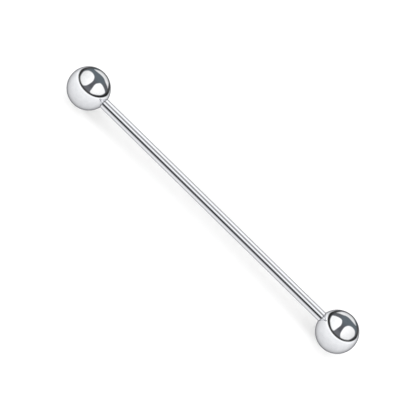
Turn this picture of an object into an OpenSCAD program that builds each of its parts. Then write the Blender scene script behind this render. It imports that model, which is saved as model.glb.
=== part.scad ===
// Industrial barbell: a straight polished shaft with a ball screwed on at each end.
// X runs along the shaft and Z is up. The origin is midway between the balls, on the
// surface that they rest on. Sizes are in millimetres.

/* [Shaft] */
// Diameter of the shaft, a slim 14 gauge
shaft_d = 1.5; // [1.4:0.1:2]
// Length of shaft that shows, from the pole of one ball to the pole of the other
wear_len = 41; // [28:1:50]
// Bevel round the edge of the shoulder at each end of the shaft
shoulder_bevel = 0.06; // [0.02:0.02:0.1]

/* [Threaded pins] */
// Diameter over the crests of the thread
thread_d = 1.2; // [0.9:0.05:1.3]
// Length of each pin, from the shoulder to its tip
pin_len = 2.6; // [1.6:0.1:3.2]
// Distance from one crest of the thread to the next
thread_pitch = 0.25; // [0.2:0.05:0.4]
// Length of the plain undercut between the shoulder and the first crest
undercut_len = 0.2; // [0.1:0.05:0.5]
// Bevel at the tip of each pin
tip_bevel = 0.15; // [0.05:0.05:0.3]

/* [Balls] */
// Diameter of each ball
ball_d = 6; // [5:0.25:8]
// Depth of the counterbore that takes the end of the shaft, from its rim to its floor
seat_depth = 0.25; // [0.15:0.05:0.5]
// Bevel round the rim of the counterbore
rim_bevel = 0.05; // [0.02:0.01:0.1]
// Bevel where the threaded hole starts in the floor of the counterbore
lead_bevel = 0.1; // [0.04:0.02:0.14]
// Length of hole left free beyond the tip of the pin
hole_spare = 0.4; // [0.2:0.1:0.6]
// Full angle of the drill's point at the bottom of the hole
drill_angle = 118; // [90:2:140]

/* [Clearances] */
// Gap all round between the shaft and the counterbore
seat_gap = 0.03; // [0.01:0.01:0.08]
// Gap all round between the crests on the pin and the ridges in the hole
thread_gap = 0.03; // [0.01:0.01:0.08]
// Gap between the shoulder of the shaft and the floor of the counterbore
face_gap = 0.03; // [0.01:0.01:0.1]

/* [Hidden] */

// Fineness of round surfaces
$fn = 128;

// Radii
shaft_r = shaft_d / 2;
thread_r = thread_d / 2;
ball_r = ball_d / 2;
seat_r = shaft_r + seat_gap;
hole_r = thread_r + thread_gap;

// Proportions of a metric thread with 60 degree flanks, as shares of its pitch
flank_slope = tan(30);
outer_depth = 0.6134 * thread_pitch;
outer_crest = thread_pitch / 8;
inner_depth = 0.5413 * thread_pitch;
inner_root = thread_pitch / 8;
core_r = thread_r - outer_depth;
groove_r = hole_r + inner_depth;

// Places along X, all measured from the middle of the shaft towards one end
pole_x = wear_len / 2;
ball_x = pole_x + ball_r;
rim_x = ball_x - sqrt(pow(ball_r, 2) - pow(seat_r, 2));
floor_x = rim_x + seat_depth;
shoulder_x = floor_x - face_gap;
tip_x = shoulder_x + pin_len;
hole_end_x = tip_x + hole_spare;
drill_point = hole_r / tan(drill_angle / 2);
// How far the cutter that opens the counterbore starts outside the ball
cutter_run = 0.2;

// Whole turns of thread that fit on the pin and in the hole, whose last pitch stays plain
pin_turns = floor((pin_len - undercut_len - tip_bevel) / thread_pitch);
hole_turns = floor((hole_end_x - floor_x - lead_bevel) / thread_pitch) - 1;

// One ridge or groove of a thread: from radius base_r out to peak_r and back, starting at x
function turn_outline(base_r, peak_r, flat, x) =
    let (flank = (peak_r - base_r) * flank_slope) [
        [base_r, x],
        [peak_r, x + flank],
        [peak_r, x + flank + flat],
        [base_r, x + 2 * flank + flat],
    ];

// A run of such turns, one pitch apart
function thread_outline(base_r, peak_r, flat, start_x, turns) = [
    for (turn = [0 : turns - 1])
        each turn_outline(base_r, peak_r, flat, start_x + turn * thread_pitch)
];

// One end of the shaft as [radius, x], from its edge bevel to the middle of the pin's tip
end_outline = concat(
    [
        [shaft_r, shoulder_x - shoulder_bevel],
        [shaft_r - shoulder_bevel, shoulder_x],
        [core_r, shoulder_x],
    ],
    thread_outline(core_r, thread_r, outer_crest, shoulder_x + undercut_len, pin_turns),
    [
        [core_r, tip_x - tip_bevel],
        [core_r - tip_bevel, tip_x],
        [0, tip_x],
    ]
);

// The space inside a ball as [radius, x], from outside the ball to the point of the hole
socket_outline = concat(
    [
        [0, rim_x - cutter_run],
        [seat_r + rim_bevel + cutter_run, rim_x - cutter_run],
        [seat_r, rim_x + rim_bevel],
        [seat_r, floor_x],
        [hole_r + lead_bevel, floor_x],
    ],
    thread_outline(hole_r, groove_r, inner_root, floor_x + lead_bevel, hole_turns),
    [
        [hole_r, hole_end_x],
        [0, hole_end_x + drill_point],
    ]
);

// The other end of the shaft, in the order that closes one outline
function mirrored_outline(points) = [
    for (i = [len(points) - 1 : -1 : 0]) [points[i][0], -points[i][1]]
];

// An outline turned about the axis of the shaft
module turned(points) {
    rotate([0, 90, 0]) rotate_extrude() polygon(points);
}

// A ball at the +X end, with its socket facing the middle of the shaft
module socketed_ball() {
    difference() {
        translate([ball_x, 0, 0]) sphere(d = ball_d);
        turned(socket_outline);
    }
}

// The shaft with its two threaded pins is one turned piece
module shaft() {
    color([0.80, 0.81, 0.83])
    translate([0, 0, ball_r])
    turned(concat(mirrored_outline(end_outline), end_outline));
}

module ball_left() {
    color([0.86, 0.87, 0.89])
    translate([0, 0, ball_r])
    mirror([1, 0, 0]) socketed_ball();
}

module ball_right() {
    color([0.86, 0.87, 0.89])
    translate([0, 0, ball_r])
    socketed_ball();
}

shaft();
ball_left();
ball_right();
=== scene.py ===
"""Looks of the industrial barbell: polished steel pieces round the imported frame.

Everything is in metres and in the frame's own axes: X along the shaft, Z up, floor at z = 0.
"""
import math

import bmesh
import bpy
import numpy as np
from mathutils import Matrix, Vector


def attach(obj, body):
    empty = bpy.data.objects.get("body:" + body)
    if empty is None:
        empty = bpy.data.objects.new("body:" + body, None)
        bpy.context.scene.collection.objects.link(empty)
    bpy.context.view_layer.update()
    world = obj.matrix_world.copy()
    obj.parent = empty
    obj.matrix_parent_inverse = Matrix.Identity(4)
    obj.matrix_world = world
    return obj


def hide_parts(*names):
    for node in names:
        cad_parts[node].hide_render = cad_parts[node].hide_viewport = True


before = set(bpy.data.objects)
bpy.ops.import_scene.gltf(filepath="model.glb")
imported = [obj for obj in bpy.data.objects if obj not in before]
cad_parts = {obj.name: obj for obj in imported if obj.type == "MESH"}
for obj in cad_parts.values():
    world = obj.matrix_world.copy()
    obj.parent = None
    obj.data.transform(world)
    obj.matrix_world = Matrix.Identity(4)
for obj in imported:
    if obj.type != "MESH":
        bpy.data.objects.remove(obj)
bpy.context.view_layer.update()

MM = 0.001

# ---- Sizes of the barbell, in millimetres, as in the CAD source ----
# The shaft, and the distance from its middle to where it enters a ball
SHAFT_R = 0.75
POLE_X = 20.5
SHOULDER_BEVEL = 0.06
# The threaded pin at each end of it
CORE_R = 0.4467
THREAD_R = 0.6
THREAD_PITCH = 0.25
UNDERCUT_LEN = 0.2
PIN_LEN = 2.6
TIP_BEVEL = 0.15
# Each ball, the counterbore that takes the end of the shaft, and the threaded hole
BALL_R = 3.0
SEAT_R = 0.78
SEAT_DEPTH = 0.25
RIM_BEVEL = 0.05
HOLE_R = 0.63
GROOVE_R = 0.7653
LEAD_BEVEL = 0.1
FACE_GAP = 0.03
HOLE_SPARE = 0.4
DRILL_ANGLE = math.radians(118)

# Places along X, measured from the middle of the shaft towards one end
BALL_X = POLE_X + BALL_R
RIM_X = BALL_X - math.sqrt(BALL_R ** 2 - SEAT_R ** 2)
FLOOR_X = RIM_X + SEAT_DEPTH
SHOULDER_X = FLOOR_X - FACE_GAP
TIP_X = SHOULDER_X + PIN_LEN
HOLE_END_X = TIP_X + HOLE_SPARE
DRILL_POINT = HOLE_R / math.tan(DRILL_ANGLE / 2)

# ---- What the solids leave plain: the helix and the rounded edges ----
# Widths of a thread's crest and of its flank on the pin and in the hole, as shares of a pitch
CREST_SHARE, PIN_FLANK_SHARE, HOLE_FLANK_SHARE = 0.125, 0.354, 0.3125
# Where the pin's threaded rings start and end, and the run over which the thread rises
PIN_THREAD_X = (SHOULDER_X + UNDERCUT_LEN / 2, TIP_X - TIP_BEVEL / 3)
PIN_THREAD_RUN = 0.7 * THREAD_PITCH
# The same in the hole, from its deep end out to the bevel at its mouth
HOLE_THREAD_X = (HOLE_END_X - THREAD_PITCH, FLOOR_X + LEAD_BEVEL / 2)
HOLE_THREAD_RUN = THREAD_PITCH
# Sizes of the bends at the foot of the pin, the mouth of the hole, the edge of the
# counterbore's floor and its rim, in millimetres
FOOT_ROUND, LEAD_ROUND, SEAT_ROUND, RIM_ROUND = 0.03, 0.01, 0.02, 0.004

# Vertices round the axis, rings over a ball and rings to each pitch of a thread
AROUND = 128
BALL_RINGS = 120
THREAD_RINGS = 20
# Edges that bend more than this stay sharp
SHARP_ANGLE = math.radians(32)

# Finishes of a turned piece, as places in its list of materials
POLISHED, TURNED = 0, 1


# ---- Turned shapes: rings of (x, radius, finish of the band up to the next ring) ----
def thread_height(x, flank_share):
    """How far up a thread's flank each point round the ring at x is, from 0 to 1.

    The crest follows a right-hand helix about +X, at either end of the shaft."""
    turn = np.arange(AROUND) / AROUND
    phase = np.abs((x / THREAD_PITCH - turn + 0.5) % 1.0 - 0.5)
    slope = np.clip((CREST_SHARE / 2 + flank_share - phase) / flank_share, 0, 1)
    return slope * slope * (3 - 2 * slope)


def thread_places(start, end):
    """Places of the rings along a thread, THREAD_RINGS of them to a pitch."""
    count = int(abs(end - start) / THREAD_PITCH * THREAD_RINGS)
    return [start + (end - start) * i / count for i in range(count + 1)]


def fade(x, start, end, run):
    """0 outside start..end and 1 inside it, with a ramp of that run at both ends."""
    ramp = min(x - start, end - x) / run
    return min(max(ramp, 0.0), 1.0)


def rounded(start, corner, end, steps, finish):
    """Rings of a smooth bend from start to end, pulled towards corner, all as (x, radius)."""
    rings = []
    for i in range(steps + 1):
        t = i / steps
        x, radius = ((1 - t) ** 2 * a + 2 * t * (1 - t) * b + t * t * c
                     for a, b, c in zip(start, corner, end))
        rings.append((x, radius, finish))
    return rings


def pin_rings(side):
    """One end of the shaft, from its shoulder out to the middle of the pin's tip.

    side is 1 for the +X end and -1 for the other, whose thread has the same hand. At both
    ends x is measured outwards from the middle."""
    rings = rounded((SHOULDER_X - SHOULDER_BEVEL, SHAFT_R), (SHOULDER_X, SHAFT_R),
                    (SHOULDER_X, SHAFT_R - SHOULDER_BEVEL), 5, POLISHED)
    rings += rounded((SHOULDER_X, CORE_R + FOOT_ROUND), (SHOULDER_X, CORE_R),
                     (SHOULDER_X + FOOT_ROUND, CORE_R), 4, TURNED)
    start, end = PIN_THREAD_X
    for x in thread_places(start, end):
        height = (thread_height(side * x, PIN_FLANK_SHARE)
                  * fade(x, start, end + TIP_BEVEL, PIN_THREAD_RUN))
        radius = CORE_R + (THREAD_R - CORE_R) * height
        bevel = CORE_R + (TIP_X - x)
        rings.append((x, np.minimum(radius, bevel), TURNED))
    return rings + [(TIP_X, CORE_R - TIP_BEVEL, TURNED), (TIP_X, 0.0, TURNED)]


def shaft_rings():
    """The whole shaft from the tip of one pin to the tip of the other."""
    left = pin_rings(-1)
    # Read backwards, each ring starts the band that the ring before it started
    finishes = [POLISHED] + [finish for _, _, finish in left]
    left = [(-x, radius, finish) for (x, radius, _), finish in zip(left, finishes)]
    return left[::-1] + pin_rings(1)


def ball_rings(side):
    """A ball from the bottom of its hole, out through the socket and over to its far pole.

    side is 1 for the +X ball and -1 for the other, whose thread has the same hand."""
    rings = [(HOLE_END_X + DRILL_POINT, 0.0, TURNED), (HOLE_END_X, HOLE_R, TURNED)]
    start, end = HOLE_THREAD_X
    for x in thread_places(start, end):
        height = (thread_height(side * x, HOLE_FLANK_SHARE)
                  * fade(x, end - THREAD_PITCH, start, HOLE_THREAD_RUN))
        radius = HOLE_R + (GROOVE_R - HOLE_R) * height
        bevel = HOLE_R + LEAD_BEVEL - (x - FLOOR_X)
        rings.append((x, np.maximum(radius, bevel), TURNED))
    lead_r = HOLE_R + LEAD_BEVEL
    rings += rounded((FLOOR_X + LEAD_ROUND, lead_r - LEAD_ROUND), (FLOOR_X, lead_r),
                     (FLOOR_X, lead_r + LEAD_ROUND), 3, TURNED)
    rings += rounded((FLOOR_X, SEAT_R - SEAT_ROUND), (FLOOR_X, SEAT_R),
                     (FLOOR_X - SEAT_ROUND, SEAT_R), 3, TURNED)
    # The rim's bend ends on the ball, at this angle about its centre from its near pole
    lip = math.asin((SEAT_R + RIM_BEVEL) / BALL_R)
    rings += rounded((RIM_X + RIM_BEVEL, SEAT_R), (RIM_X + RIM_ROUND, SEAT_R + RIM_ROUND),
                     (BALL_X - BALL_R * math.cos(lip), BALL_R * math.sin(lip)), 6, POLISHED)
    for i in range(1, BALL_RINGS + 1):
        angle = lip + (math.pi - lip) * i / BALL_RINGS
        radius = BALL_R * math.sin(angle) if i < BALL_RINGS else 0.0
        rings.append((BALL_X - BALL_R * math.cos(angle), radius, POLISHED))
    return [(side * x, radius, finish) for x, radius, finish in rings]


def new_mesh(name, points, faces):
    """A mesh from points and faces."""
    mesh = bpy.data.meshes.new(name)
    mesh.from_pydata(points, [], faces)
    return mesh


def new_object(name, data):
    """An object in the scene that holds a mesh, a lamp or a camera."""
    made = bpy.data.objects.new(name, data)
    bpy.context.scene.collection.objects.link(made)
    return made


def turned_piece(name, rings, materials):
    """A closed mesh round the shaft's axis, from rings that start and end on the axis."""
    turn = 2 * math.pi * np.arange(AROUND) / AROUND
    points, rows = [], []
    for x, radius, _ in rings:
        if np.ndim(radius) == 0 and radius == 0:
            rows.append([len(points)])
            points.append((x, 0.0, BALL_R))
            continue
        radii = np.broadcast_to(radius, AROUND)
        rows.append(list(range(len(points), len(points) + AROUND)))
        points += [(x, r * math.cos(a), BALL_R + r * math.sin(a)) for r, a in zip(radii, turn)]
    faces, finishes = [], []
    for (row, following), ring in zip(zip(rows, rows[1:]), rings):
        for j in range(AROUND):
            k = (j + 1) % AROUND
            if len(row) == 1:
                face = (row[0], following[j], following[k])
            elif len(following) == 1:
                face = (row[j], row[k], following[0])
            else:
                face = (row[j], row[k], following[k], following[j])
            faces.append(face)
            finishes.append(ring[2])
    mesh = new_mesh(name, (np.array(points) * MM).tolist(), faces)
    for material in materials:
        mesh.materials.append(material)
    mesh.polygons.foreach_set("material_index", finishes)
    work = bmesh.new()
    work.from_mesh(mesh)
    bmesh.ops.recalc_face_normals(work, faces=work.faces)
    work.to_mesh(mesh)
    work.free()
    mesh.shade_smooth()
    mesh.set_sharp_from_angle(angle=SHARP_ANGLE)
    return new_object(name, mesh)


# ---- Steel ----
class Steel:
    """A metal material, with short ways to make the nodes for its tone, gloss and relief."""

    def __init__(self, name):
        self.material = bpy.data.materials.new(name)
        self.material.use_nodes = True
        tree = self.material.node_tree
        self.nodes, self.join = tree.nodes, tree.links.new
        self.shader = self.nodes["Principled BSDF"].inputs
        self.shader["Metallic"].default_value = 1.0
        self.place = self.node("ShaderNodeTexCoord", {})["Object"]

    def node(self, kind, inputs, **settings):
        """The outputs of a new node. Each input is a value or another node's output."""
        made = self.nodes.new(kind)
        for key, value in settings.items():
            setattr(made, key, value)
        for key, value in inputs.items():
            if isinstance(value, bpy.types.NodeSocket):
                self.join(value, made.inputs[key])
            else:
                made.inputs[key].default_value = value
        return made.outputs

    def noise(self, place, scale, detail, roughness):
        """Cloudy noise at a place."""
        return self.node("ShaderNodeTexNoise", {
            "Vector": place, "Scale": scale, "Detail": detail, "Roughness": roughness})["Fac"]

    def lines(self, stretch, turn=(0, 0, 0)):
        """Noise drawn out into fine straight lines: stretch is its scale on each axis."""
        mapped = self.node("ShaderNodeMapping", {
            "Vector": self.place, "Scale": stretch, "Rotation": turn})["Vector"]
        return self.noise(mapped, 1.0, 3.0, 0.6)

    def ranged(self, value, source, target, **settings):
        """A value taken from the range source to the range target."""
        return self.node("ShaderNodeMapRange", {
            "Value": value, "From Min": source[0], "From Max": source[1],
            "To Min": target[0], "To Max": target[1]}, **settings)["Result"]

    def set_tone(self, pattern, places, dark, light):
        """Colour the steel from dark to light between two places of a pattern."""
        ramp = self.nodes.new("ShaderNodeValToRGB")
        for stop, place, colour in zip(ramp.color_ramp.elements, places, (dark, light)):
            stop.position = place
            stop.color = colour + (1.0,)
        self.join(pattern, ramp.inputs["Fac"])
        self.join(ramp.outputs["Color"], self.shader["Base Color"])

    def set_relief(self, pattern, strength, distance, **settings):
        """Raise the surface by a pattern, by at most a distance in metres."""
        normal = self.node("ShaderNodeBump", {
            "Height": pattern, "Strength": strength, "Distance": distance}, **settings)["Normal"]
        self.join(normal, self.shader["Normal"])


def ball_steel():
    """Mirror-polished surgical steel with faint haze and hairlines from handling."""
    steel = Steel("mirror_steel")
    steel.shader["Specular Tint"].default_value = (0.25, 0.25, 0.26, 1.0)
    haze = steel.noise(steel.place, 1300.0, 4.0, 0.6)
    steel.set_tone(haze, (0.36, 0.64), (0.85, 0.857, 0.868), (0.895, 0.9, 0.908))

    # Three sets of lines, each turned another way, of which only the few strongest remain
    hairlines = None
    for turn in ((0.3, 0.9, 0.2), (1.1, 0.2, 2.1), (2.0, 1.6, 0.7)):
        sparse = steel.ranged(steel.lines((900.0, 60.0, 6000.0), turn), (0.68, 0.76), (0.0, 1.0),
                              interpolation_type="SMOOTHSTEP")
        hairlines = sparse if hairlines is None else steel.node(
            "ShaderNodeMath", {0: hairlines, 1: sparse}, operation="MAXIMUM")["Value"]

    # The haze sets the roughness, and a hairline adds a little to it
    gloss = steel.ranged(haze, (0.35, 0.75), (0.03, 0.065))
    worn = steel.node("ShaderNodeMath", {0: hairlines, 1: 0.035, 2: gloss},
                      operation="MULTIPLY_ADD")["Value"]
    steel.join(worn, steel.shader["Roughness"])
    steel.set_relief(hairlines, 0.07, 0.000004, invert=True)
    return steel.material


def shaft_steel():
    """Ground and polished steel, with the grinding lines running round the shaft."""
    steel = Steel("ground_steel")
    steel.shader["Anisotropic"].default_value = 0.4
    steel.shader["Specular Tint"].default_value = (0.5, 0.5, 0.52, 1.0)
    tangent = steel.node("ShaderNodeTangent", {}, direction_type="RADIAL", axis="X")["Tangent"]
    steel.join(tangent, steel.shader["Tangent"])
    rings = steel.lines((26000.0, 500.0, 500.0))
    steel.set_tone(rings, (0.3, 0.7), (0.83, 0.84, 0.86), (0.87, 0.875, 0.89))
    haze = steel.noise(steel.place, 600.0, 3.0, 0.5)
    steel.join(steel.ranged(haze, (0.3, 0.75), (0.08, 0.15)), steel.shader["Roughness"])
    steel.set_relief(rings, 0.1, 0.000003)
    return steel.material


def turned_steel():
    """Bright steel straight from the lathe, for the threads and the sockets."""
    steel = Steel("turned_steel")
    rings = steel.lines((30000.0, 900.0, 900.0))
    steel.set_tone(rings, (0.3, 0.7), (0.6, 0.6, 0.62), (0.76, 0.76, 0.78))
    steel.join(steel.ranged(rings, (0.3, 0.7), (0.2, 0.34)), steel.shader["Roughness"])
    steel.set_relief(rings, 0.3, 0.000004)
    return steel.material


# ---- Camera ----
# Far away with a long lens, looking down at the barbell, and rolled so that the shaft runs
# from the upper left to the lower right of the picture
ELEVATION = math.radians(47.0)
LENS, SENSOR = 200.0, 36.0
# Width of the picture in pixels, its scale at the barbell, and the pixel that the point
# midway between the balls' centres falls on
PICTURE = 416
PIXELS_PER_MM = 7.40
MIDDLE = (212.95, 210.03)
# Cosine and sine of the roll
ROLL = (0.7143, 0.6998)
# Nearest and farthest distance that the camera sees, in metres
CLIP = (0.01, 10.0)

# The way back to the camera, and what is up and to the right in the view before the roll
VIEW_BACK = Vector((0.0, -math.cos(ELEVATION), math.sin(ELEVATION)))
VIEW_UP = Vector((0.0, math.sin(ELEVATION), math.cos(ELEVATION)))
VIEW_SIDE = Vector((1.0, 0.0, 0.0))


def make_camera():
    """The camera that frames the barbell as in the picture."""
    right = ROLL[0] * VIEW_SIDE + ROLL[1] * VIEW_UP
    up = ROLL[0] * VIEW_UP - ROLL[1] * VIEW_SIDE
    off_right = (PICTURE / 2 - MIDDLE[0]) / PIXELS_PER_MM * MM
    off_up = (MIDDLE[1] - PICTURE / 2) / PIXELS_PER_MM * MM
    distance = PICTURE / PIXELS_PER_MM * MM * LENS / SENSOR
    target = Vector((0.0, 0.0, BALL_R * MM)) + off_right * right + off_up * up
    data = bpy.data.cameras.new("camera")
    data.lens, data.sensor_width = LENS, SENSOR
    data.clip_start, data.clip_end = CLIP
    camera = new_object("camera", data)
    place = Matrix((right, up, VIEW_BACK)).transposed().to_4x4()
    place.translation = target + distance * VIEW_BACK
    camera.matrix_world = place
    bpy.context.scene.camera = camera


# ---- Floor and its light ----
# Radii of the floor's first and last ring in metres, how many rings, and points to a ring
FLOOR_R, FLOOR_RINGS, FLOOR_AROUND = (0.02, 1.5), 24, 96
FLOOR_WHITE = 0.9
# Shares of the floor's brightness, of which 1 is as white as the picture gets. One sky is
# shaded by the shaft alone and the other by the balls alone, and the glow by nothing.
SHAFT_SKY_SHARE, BALL_SKY_SHARE, GLOW_SHARE = 0.491, 0.418, 0.026
# The skies' radii in metres, and their rings and points to a ring
SHAFT_SKY_R, BALL_SKY_R = 0.60, 0.62
SKY_RINGS, SKY_AROUND = 12, 32
# Each lamp lies low beyond one end, a little towards the camera, and only that end's ball
# stands in its light
LAMP_TURN, LAMP_HEIGHT, LAMP_SPREAD = math.radians(6.6), math.radians(2.8), math.radians(22.2)
LAMP_POWER, LAMP_DISTANCE = 7.3, 0.2
WHITE = (1.0, 1.0, 1.0, 1.0)


def disc(around, rings):
    """Points and faces of a disc or dome round Z: a point in its middle and rings round it.

    rings are (radius, z) from the middle outwards, and the first of them is that point."""
    points = [(0.0, 0.0, rings[0][1])]
    for radius, z in rings[1:]:
        points += [(radius * math.cos(2 * math.pi * j / around),
                    radius * math.sin(2 * math.pi * j / around), z) for j in range(around)]
    faces = [(0, 1 + j, 1 + (j + 1) % around) for j in range(around)]
    for i in range(len(rings) - 2):
        a, b = 1 + i * around, 1 + (i + 1) * around
        faces += [(a + j, b + j, b + (j + 1) % around, a + (j + 1) % around)
                  for j in range(around)]
    return points, faces


def make_floor():
    """A plain white floor, lit a little past white so that only shadows show on it."""
    radii = np.geomspace(*FLOOR_R, FLOOR_RINGS)
    points, faces = disc(FLOOR_AROUND, [(0.0, 0.0)] + [(radius, 0.0) for radius in radii])
    floor = new_object("floor", new_mesh("floor", points, faces))
    floor.visible_glossy = False
    material = bpy.data.materials.new("white_floor")
    material.use_nodes = True
    shader = material.node_tree.nodes["Principled BSDF"].inputs
    shader["Base Color"].default_value = (FLOOR_WHITE,) * 3 + (1.0,)
    shader["Roughness"].default_value = 1.0
    shader["Specular IOR Level"].default_value = 0.0
    shader["Emission Color"].default_value = WHITE
    shader["Emission Strength"].default_value = GLOW_SHARE
    floor.data.materials.append(material)
    return floor


def linked(name, pieces):
    """A collection of the pieces that one light shines on, or that stand in its way."""
    collection = bpy.data.collections.new(name)
    for piece in pieces:
        collection.objects.link(piece)
    return collection


def glowing(name, mesh, light):
    """A stage object that shines and lets other light through.

    light is the name of the mesh's colour attribute, or one strength of white."""
    material = bpy.data.materials.new(name)
    material.use_nodes = True
    nodes, join = material.node_tree.nodes, material.node_tree.links.new
    nodes.clear()
    glow = nodes.new("ShaderNodeEmission")
    if isinstance(light, str):
        painted = nodes.new("ShaderNodeAttribute")
        painted.attribute_name = light
        join(painted.outputs["Color"], glow.inputs["Color"])
    else:
        glow.inputs["Color"].default_value = WHITE
        glow.inputs["Strength"].default_value = light
    clear = nodes.new("ShaderNodeBsdfTransparent")
    both = nodes.new("ShaderNodeAddShader")
    output = nodes.new("ShaderNodeOutputMaterial")
    join(glow.outputs["Emission"], both.inputs[0])
    join(clear.outputs["BSDF"], both.inputs[1])
    join(both.outputs["Shader"], output.inputs["Surface"])
    mesh.materials.append(material)
    shining = new_object(name, mesh)
    shining.visible_camera = shining.visible_shadow = False
    shining.visible_transmission = shining.visible_volume_scatter = False
    return shining


def make_sky(name, radius, share, floor, blockers):
    """An even dome of light over the floor, which only the blockers shade."""
    tilts = [math.pi / 2 * i / SKY_RINGS for i in range(SKY_RINGS + 1)]
    points, faces = disc(SKY_AROUND, [(radius * math.sin(tilt), radius * math.cos(tilt))
                                      for tilt in tilts])
    sky = glowing(name, new_mesh(name, points, faces), share / FLOOR_WHITE)
    sky.visible_glossy = False
    sky.light_linking.receiver_collection = linked(name + "_receivers", [floor])
    sky.light_linking.blocker_collection = linked(name + "_blockers", blockers)


def make_lamps(floor, shaft, balls):
    """A wide low lamp beyond each end, two even skies over the floor and a white backdrop,
    none of which the steel mirrors."""
    for side, ball in balls.items():
        data = bpy.data.lights.new("lamp", "SUN")
        data.energy = LAMP_POWER
        data.angle = LAMP_SPREAD
        lamp = new_object("lamp", data)
        away = Vector((side * math.cos(LAMP_TURN) * math.cos(LAMP_HEIGHT),
                       -math.sin(LAMP_TURN) * math.cos(LAMP_HEIGHT), math.sin(LAMP_HEIGHT)))
        lamp.rotation_mode = "QUATERNION"
        lamp.rotation_quaternion = away.to_track_quat("Z", "Y")
        lamp.location = LAMP_DISTANCE * away
        lamp.visible_glossy = lamp.visible_camera = False
        lamp.light_linking.blocker_collection = linked("shaded_by_" + ball.name, [ball])
    make_sky("sky_over_shaft", SHAFT_SKY_R, SHAFT_SKY_SHARE, floor, [shaft])
    make_sky("sky_over_balls", BALL_SKY_R, BALL_SKY_SHARE, floor, list(balls.values()))
    world = bpy.data.worlds.new("studio")
    bpy.context.scene.world = world
    world.use_nodes = True
    backdrop = world.node_tree.nodes["Background"].inputs
    backdrop["Color"].default_value = WHITE
    backdrop["Strength"].default_value = 1.0
    world.cycles_visibility.glossy = world.cycles_visibility.diffuse = False


# ---- What the steel mirrors: one tent of soft light for each piece ----
# A tent is painted in the flat picture that a mirror ball gives of it: (u, v) with the ball's
# outline at radius 1, u along the shaft and v up. Greys are display values from 0 to 255. A
# pair named ..._OVER is where a smooth step starts and where it is complete.

# Radii of the tents in metres, and their rows and points to a row
TENT_R = {"left": 0.50, "right": 0.51, "shaft": 0.52}
TENT_ROWS, TENT_AROUND = 220, 240
# How much of a light the steel sends back to the camera
STEEL_SHARE = 0.875

# The hood over the barbell: the centre and half sizes of its opening, the share that it
# narrows by towards the top, and its soft edge, as shares of its size
HOOD_CENTRE, HOOD_SIZE = (0.004, 0.39), (0.808, 0.586)
NARROWING, NARROWING_OVER = 0.04, (0.32, 0.6)
HOOD_OVER = (0.985, 1.035)

# The white outside it: its grey, its tint, and how much darker it is straight below. That
# darkening is painted shade: the floor beneath the ball, in the ball's shadow, as the ball mirrors
# it
WHITE_GREY, WHITE_TINT, WHITE_FALL = 239, (-1.0, -0.5, 1.5), 27
# The bright band along the outside of its edge, which ends at the outline: how much lighter it
# is, where it lies and how wide it is, as shares of the hood's size
BAND, BAND_AT, BAND_WIDTH, BAND_END_OVER = 16, 1.09, 0.06, (0.93, 0.98)

# Colours inside the hood at its foot, its middle and its top, and what is taken from the top's
# colour on the side towards the other ball
INSIDE = np.array([[104.0, 105, 110], [89, 90, 95], [98, 106, 112]])
MIDDLE_OVER, TOP_OVER = (0.0, 0.15), (0.3, 0.6)
TOP_SIDE, TOP_SIDE_OVER = (-4.0, -10, -12), (0.2, 0.5)
# The even grey high up inside it, near the outline
BACK_GREY, BACK_OVER = 185, (0.84, 0.94)

# The dark line just inside the hood's edge, by shares of the hood's size, which ends high up:
# its grey, and how much lighter it is in the middle, darker towards the other ball and lighter
# further up
LINE_OVER, LINE_END_OVER = (0.83, 0.93), (0.68, 0.86)
LINE_GREY = 54
LINE_MIDDLE, LINE_MIDDLE_OVER = 14, (-0.45, -0.1)
LINE_SIDE, LINE_SIDE_OVER = 12, (0.3, 0.6)
LINE_TOP, LINE_TOP_OVER = 38, (0.35, 0.65)
# A lighter spot on it: how much lighter, its centre, and its radius squared
SPOT, SPOT_AT, SPOT_SPREAD = 40, (-0.56, 0.0), 0.0225

# Soft panels seen inside the hood, as outlines: one away from the other ball, one towards it
# and one at the back
PANELS = {
    "away": [(-0.67, 0.34), (-0.615, 0.13), (-0.49, 0.01), (-0.35, -0.065), (-0.22, -0.07),
             (-0.105, 0.07), (-0.06, 0.32), (-0.10, 0.47), (-0.20, 0.57), (-0.36, 0.605),
             (-0.53, 0.565), (-0.635, 0.46)],
    "towards": [(0.68, 0.355), (0.625, 0.165), (0.475, 0.02), (0.29, -0.08), (0.175, -0.065),
                (0.14, 0.10), (0.11, 0.32), (0.17, 0.47), (0.26, 0.54), (0.43, 0.52),
                (0.605, 0.445)],
    "back": [(-0.45, 0.76), (-0.34, 0.765), (-0.20, 0.785), (0.0, 0.81), (0.17, 0.795),
             (0.32, 0.735), (0.50, 0.67), (0.595, 0.62), (0.595, 0.645), (0.52, 0.74),
             (0.40, 0.85), (0.20, 0.925), (0.0, 0.94), (-0.22, 0.905), (-0.39, 0.81)],
}
PANEL_OVER = (-0.025, 0.03)
# Their greys by u, how much darker they are at their foot, and the most that the back one has
PANEL_GREYS = [(-0.62, 231), (-0.5, 240), (-0.3, 250), (-0.2, 260), (0.35, 260), (0.5, 250),
               (0.65, 250)]
PANEL_FALL, PANEL_FALL_OVER = 10, (-0.2, 0.05)
BACK_PANEL_MOST = 243

# The hood's line closes behind the ball, close to the outline and high up: its grey, and how
# much darker it is on the side towards the other ball
CLOSING_OVER, CLOSING_UP_OVER = (0.95, 0.968), (0.6, 0.8)
CLOSING_GREY, CLOSING_SIDE, CLOSING_SIDE_OVER = 138, 54, (0.05, 0.32)
# White fills the rest there, below the straight back edge of the hood
REAR_EDGE_OVER, REAR_OVER, REAR_UP_OVER = (0.36, 0.42), (0.93, 0.955), (0.1, 0.3)

# Greys by the angle above the view, in degrees, that a ray leaves the shaft at
SHAFT_STRIPS = [(-180, 150), (-150, 190), (-122, 215), (-100, 230), (-80, 240), (-64, 222),
                (-50, 150), (-38, 62), (-28, 35), (-20, 62), (-10, 165), (0, 238), (10, 265),
                (18, 245), (30, 172), (42, 130), (53, 165), (64, 240), (74, 268), (90, 258),
                (104, 232), (120, 228), (131, 185), (141, 122), (150, 130), (160, 205),
                (170, 225), (180, 150)]
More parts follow.
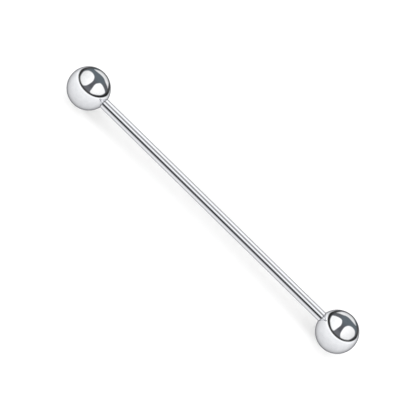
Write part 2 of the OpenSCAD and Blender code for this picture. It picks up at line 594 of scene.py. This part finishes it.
# The strips pale towards this grey the more a ray leans along the shaft, the dark one between
# these angles first, and some of their contrast comes back where it leans most
PALE_GREY, PALENESS = 238, 0.75
DARK_STRIP, DARK_STRIP_OVER, STRIPS_OVER = (-64, 0), (0.45, 0.7), (0.68, 0.8)
RETURN, RETURN_OVER = 0.6, (0.85, 0.93)
# Brightness of them all by the same lean, from 0 to 1. The dip around leans of 0.4 to 0.52 is
# painted shade: seen mirrored in the balls, it draws a dark line where the shaft enters each ball
SHAFT_LEVELS = [(0.26, 1.0), (0.4, 0.86), (0.52, 0.84), (0.62, 0.96), (0.76, 1.06),
                (0.82, 1.2), (1.0, 1.18)]
# Their tint
SHAFT_TINT = (0, 0, 2)


def to_light(grey):
    """The light that shows as a grey display value once the steel has dimmed it.

    The curve is that of a standard display."""
    share = np.asarray(grey, float) / 255
    linear = np.where(share <= 0.04045, share / 12.92, ((share + 0.055) / 1.055) ** 2.4)
    return linear / STEEL_SHARE


def step(value, low, high):
    """A smooth step from 0 at low to 1 at high."""
    t = np.clip((value - low) / (high - low), 0, 1)
    return t * t * (3 - 2 * t)


def laid_over(below, above, share):
    """Greys (n, 3) with others, (n, 3) or (n,), laid over them by a share at each point."""
    above = above[:, None] if np.ndim(above) == 1 else above
    share = share[:, None]
    return below * (1 - share) + above * share


def smooth_outline(corners, pieces=8):
    """A closed cubic spline that passes smoothly through the corners."""
    p = np.array(corners)
    curve = []
    for i in range(len(p)):
        a, b, c, d = p[i - 1], p[i], p[(i + 1) % len(p)], p[(i + 2) % len(p)]
        for t in np.arange(pieces) / pieces:
            curve.append(0.5 * (2 * b + (c - a) * t + (2 * a - 5 * b + 4 * c - d) * t * t
                                + (3 * b - a - 3 * c + d) * t ** 3))
    return np.array(curve)


def inside_by(curve, u, v):
    """How far each point lies inside a closed curve, negative outside."""
    nearest = np.full(u.shape, np.inf)
    crossings = np.zeros(u.shape, int)
    for (ax, ay), (bx, by) in zip(curve, np.roll(curve, -1, axis=0)):
        dx, dy = bx - ax, by - ay
        t = np.clip(((u - ax) * dx + (v - ay) * dy) / (dx * dx + dy * dy), 0, 1)
        nearest = np.minimum(nearest, np.hypot(u - ax - t * dx, v - ay - t * dy))
        spans = (ay > v) != (by > v)
        with np.errstate(divide="ignore", invalid="ignore"):
            crossings += spans & (u < ax + (v - ay) / (by - ay) * dx)
    return np.where(crossings % 2 == 1, nearest, -nearest)


def hood_inside(u, v, hood):
    """Greys (n, 3) inside the hood, which is 1 at its edge: walls, dark line and panels."""
    foot, middle, top = INSIDE
    inside = foot + (middle - foot) * step(v, *MIDDLE_OVER)[:, None]
    top = top + np.array(TOP_SIDE) * step(u, *TOP_SIDE_OVER)[:, None]
    inside = inside + (top - middle) * step(v, *TOP_OVER)[:, None]

    line = (LINE_GREY + LINE_MIDDLE * step(-np.abs(u), *LINE_MIDDLE_OVER)
            - LINE_SIDE * step(u, *LINE_SIDE_OVER) + LINE_TOP * step(v, *LINE_TOP_OVER))
    line = line + SPOT * np.exp(-((u - SPOT_AT[0]) ** 2 + (v - SPOT_AT[1]) ** 2) / SPOT_SPREAD)
    inside = laid_over(inside, line, step(hood, *LINE_OVER) * (1 - step(v, *LINE_END_OVER)))
    inside = laid_over(inside, BACK_GREY, step(v, *BACK_OVER))

    for name, corners in PANELS.items():
        panel = np.interp(u, *zip(*PANEL_GREYS)) - PANEL_FALL * step(-v, *PANEL_FALL_OVER)
        if name == "back":
            panel = np.minimum(panel, BACK_PANEL_MOST)
        share = step(inside_by(smooth_outline(corners), u, v), *PANEL_OVER)
        inside = laid_over(inside, panel, share)
    return inside


def ball_tent(u, v, height):
    """Greys (n, 3) of the tent round a ball. Here u grows towards the other ball, and height
    is how steeply each ray leaves upwards, from -1 to 1."""
    reach = np.hypot(u, v)
    wide = HOOD_SIZE[0] * (1 - NARROWING * step(v, *NARROWING_OVER))
    hood = np.hypot((u - HOOD_CENTRE[0]) / wide, (v - HOOD_CENTRE[1]) / HOOD_SIZE[1])
    band = BAND * np.exp(-((hood - BAND_AT) / BAND_WIDTH) ** 2) * (1 - step(reach, *BAND_END_OVER))
    # Painted shade: the white darkens for rays that leave downwards, standing for the shadowed
    # floor under the ball
    white = WHITE_GREY - WHITE_FALL * np.clip(-height, 0, 1) + band
    white = white[:, None] + np.array(WHITE_TINT)
    light = laid_over(hood_inside(u, v, hood), white, step(hood, *HOOD_OVER))

    closing = step(reach, *CLOSING_OVER) * step(v, *CLOSING_UP_OVER)
    light = laid_over(light, CLOSING_GREY - CLOSING_SIDE * step(u, *CLOSING_SIDE_OVER), closing)
    # How far up in the view the ray to this place of the tent leaves the ball
    rise = 2 * v * np.sqrt(np.clip(1 - reach * reach, 0, 1))
    rear = (1 - step(rise, *REAR_EDGE_OVER)) * step(reach, *REAR_OVER) * step(v, *REAR_UP_OVER)
    return laid_over(light, white, rear)


def shaft_tent(ray):
    """Greys (n, 3) of the strips along the shaft, for rays that leave it."""
    turn = np.degrees(np.arctan2(ray @ np.array(VIEW_UP), ray @ np.array(VIEW_BACK)))
    grey = np.interp(turn, *zip(*SHAFT_STRIPS))
    lean = np.abs(ray[:, 0])
    dark = (turn > DARK_STRIP[0]) & (turn < DARK_STRIP[1])
    pale = PALENESS * np.where(dark, step(lean, *DARK_STRIP_OVER), step(lean, *STRIPS_OVER))
    contrast = 1 - pale * (1 - RETURN * step(lean, *RETURN_OVER))
    # The levels' dip is painted shade at the joint of shaft and ball
    grey = (PALE_GREY + contrast * (grey - PALE_GREY)) * np.interp(lean, *zip(*SHAFT_LEVELS))
    return grey[:, None] + np.array(SHAFT_TINT)


def make_tent(name, radius, centre, piece, paint):
    """A sphere of light that only one piece mirrors. Nothing else sees it."""
    # Rows of points at even angles about the way back to the camera, as a mirror ball shows them
    rho = np.sin(np.linspace(0, math.pi / 2, TENT_ROWS + 1))[:, None]
    turn = 2 * math.pi * np.arange(TENT_AROUND)[None, :] / TENT_AROUND
    u, v = (rho * np.cos(turn)).ravel(), (rho * np.sin(turn)).ravel()
    lift = np.sqrt(np.clip(1 - u * u - v * v, 0, 1))
    normal = (u[:, None] * np.array(VIEW_SIDE) + v[:, None] * np.array(VIEW_UP)
              + lift[:, None] * np.array(VIEW_BACK))
    ray = 2 * lift[:, None] * normal - np.array(VIEW_BACK)
    faces = []
    for i in range(TENT_ROWS):
        a, b = i * TENT_AROUND, (i + 1) * TENT_AROUND
        for j in range(TENT_AROUND):
            k = (j + 1) % TENT_AROUND
            faces.append((a + j, a + k, b + k, b + j))
    mesh = new_mesh(name, (np.array(centre) + radius * ray).tolist(), faces)
    colour = mesh.attributes.new("light", "FLOAT_COLOR", "POINT")
    light = to_light(paint(u, v, ray))
    colour.data.foreach_set("color", np.column_stack([light, np.ones(len(light))]).ravel())

    tent = glowing(name, mesh, "light")
    tent.visible_diffuse = False
    tent.light_linking.receiver_collection = linked(name + "_receivers", [piece])


# ---- The barbell ----
mirror, ground, turned = ball_steel(), shaft_steel(), turned_steel()

shaft = turned_piece("steel_shaft", shaft_rings(), [ground, turned])
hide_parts("shaft")
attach(shaft, "shaft")

ENDS = {-1: "left", 1: "right"}
balls = {}
for side, end in ENDS.items():
    ball = turned_piece("steel_ball_" + end, ball_rings(side), [mirror, turned])
    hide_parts("ball_" + end)
    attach(ball, "ball_" + end)
    balls[side] = ball

# ---- The studio ----
make_camera()
make_lamps(make_floor(), shaft, balls)
for side, end in ENDS.items():
    make_tent("tent_ball_" + end, TENT_R[end], (side * BALL_X * MM, 0.0, BALL_R * MM), balls[side],
              lambda u, v, ray, side=side: ball_tent(-side * u, v, ray[:, 2]))
make_tent("tent_shaft", TENT_R["shaft"], (0.0, 0.0, BALL_R * MM), shaft,
          lambda u, v, ray: shaft_tent(ray))

# The steel shades the floor and throws no bright patches on it
bpy.context.scene.cycles.caustics_reflective = False
settings = bpy.context.scene.view_settings
settings.view_transform = "Standard"
settings.look = "None"
